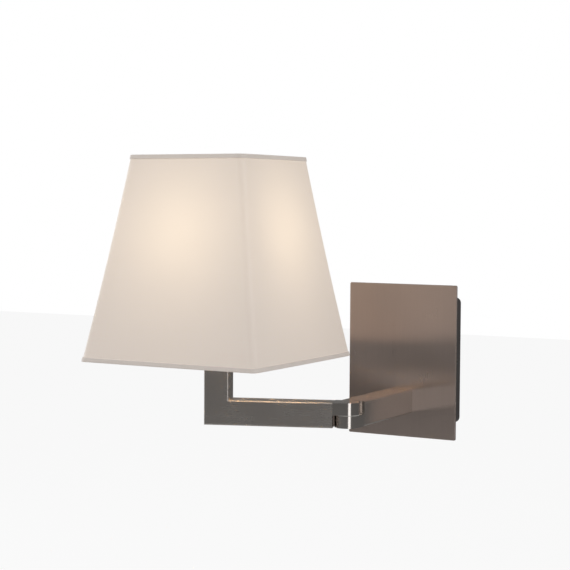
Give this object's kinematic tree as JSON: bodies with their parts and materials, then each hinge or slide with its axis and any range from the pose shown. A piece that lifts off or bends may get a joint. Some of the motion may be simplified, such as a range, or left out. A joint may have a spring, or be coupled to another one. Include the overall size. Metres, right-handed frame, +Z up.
{
  "type": "swing arm wall lamp",
  "caption": "Wall lamp with a flat rectangular plate, a square-tube arm that swings at an elbow, and a square tapered fabric shade.",
  "frame": {"origin": "centre of the wall bracket's back face, on the wall", "axes": "+Y into the wall, -Y out into the room, +X to the right as seen from the room, +Z up"},
  "size_m": [0.2863, 0.3105, 0.2965],
  "materials": {
    "brushed_nickel": "vertical brushed satin nickel plating, warm grey",
    "box_nickel": "satin nickel plating on pressed steel",
    "zinc_steel": "bright zinc plating",
    "brass": "turned brass",
    "nylon": "natural nylon",
    "rubber": "black moulded rubber",
    "terminal_plastic": "moulded polyamide",
    "holder_plastic": "white heat-resistant plastic",
    "lead_insulation": "white insulation",
    "bulb_cap_metal": "bare aluminium",
    "bulb_glass": "clear to frosted glass",
    "bulb_core": "clear glass stem",
    "light_sticks": "warm yellow phosphor coating",
    "shade_fabric": "fine off-white plain weave, backed",
    "shade_tape": "folded hem tape of the shade's own cloth",
    "white_wire": "white powder coat on steel wire"
  },
  "bodies": {
    "wall_side": {"wall_bracket": "zinc_steel", "cable_grommet": "rubber", "wall_box": "box_nickel", "front_plate": "brushed_nickel", "plate_studs": "zinc_steel", "plate_nuts": "zinc_steel", "side_screws": "box_nickel", "terminal_block": "terminal_plastic", "terminal_screws": "brass", "earth_screw": "brass", "arm_nipple": "brass", "arm_washer": "zinc_steel", "arm_nut": "zinc_steel", "rear_arm_plug": "brass", "rear_arm": "brushed_nickel", "rear_knuckle": "brushed_nickel", "stop_pin": "zinc_steel", "friction_washer": "nylon", "pivot_screw": "brass", "pivot_nut": "zinc_steel", "lower_knuckle_cap": "brushed_nickel", "rear_leads": "lead_insulation"},
    "swing_arm": {"front_knuckle": "brushed_nickel", "wave_washer": "zinc_steel", "upper_knuckle_cap": "brushed_nickel", "front_arm": "brushed_nickel", "front_leads": "lead_insulation", "post_cap": "brass", "holder_nipple": "brass", "holder_base": "holder_plastic", "holder_body": "holder_plastic", "centre_contact": "brass", "screw_shell": "brass", "lower_shade_ring": "holder_plastic", "upper_shade_ring": "holder_plastic", "bulb_cap": "bulb_cap_metal", "bulb_glass": "bulb_glass", "bulb_stem": "bulb_core", "bulb_filaments": "light_sticks"},
    "shade": {"shade_cover": "shade_fabric", "shade_bottom_trim": "shade_tape", "shade_top_trim": "shade_tape", "shade_bottom_wire": "white_wire", "shade_top_wire": "white_wire", "shade_corner_wires": "white_wire", "shade_spider": "white_wire"}
  },
  "joints": [
    {"name": "elbow_swing", "type": "hinge", "parent": "wall_side", "child": "swing_arm", "pos_m": [0, -0.165, -0.043], "axis": [0, 0, 1], "range_deg": [-20, 160]},
    {"name": "shade_turn", "type": "hinge", "parent": "swing_arm", "child": "shade", "pos_m": [-0.1231, -0.2098, 0.065], "axis": [0, 0, 1], "continuous": true}
  ]
}
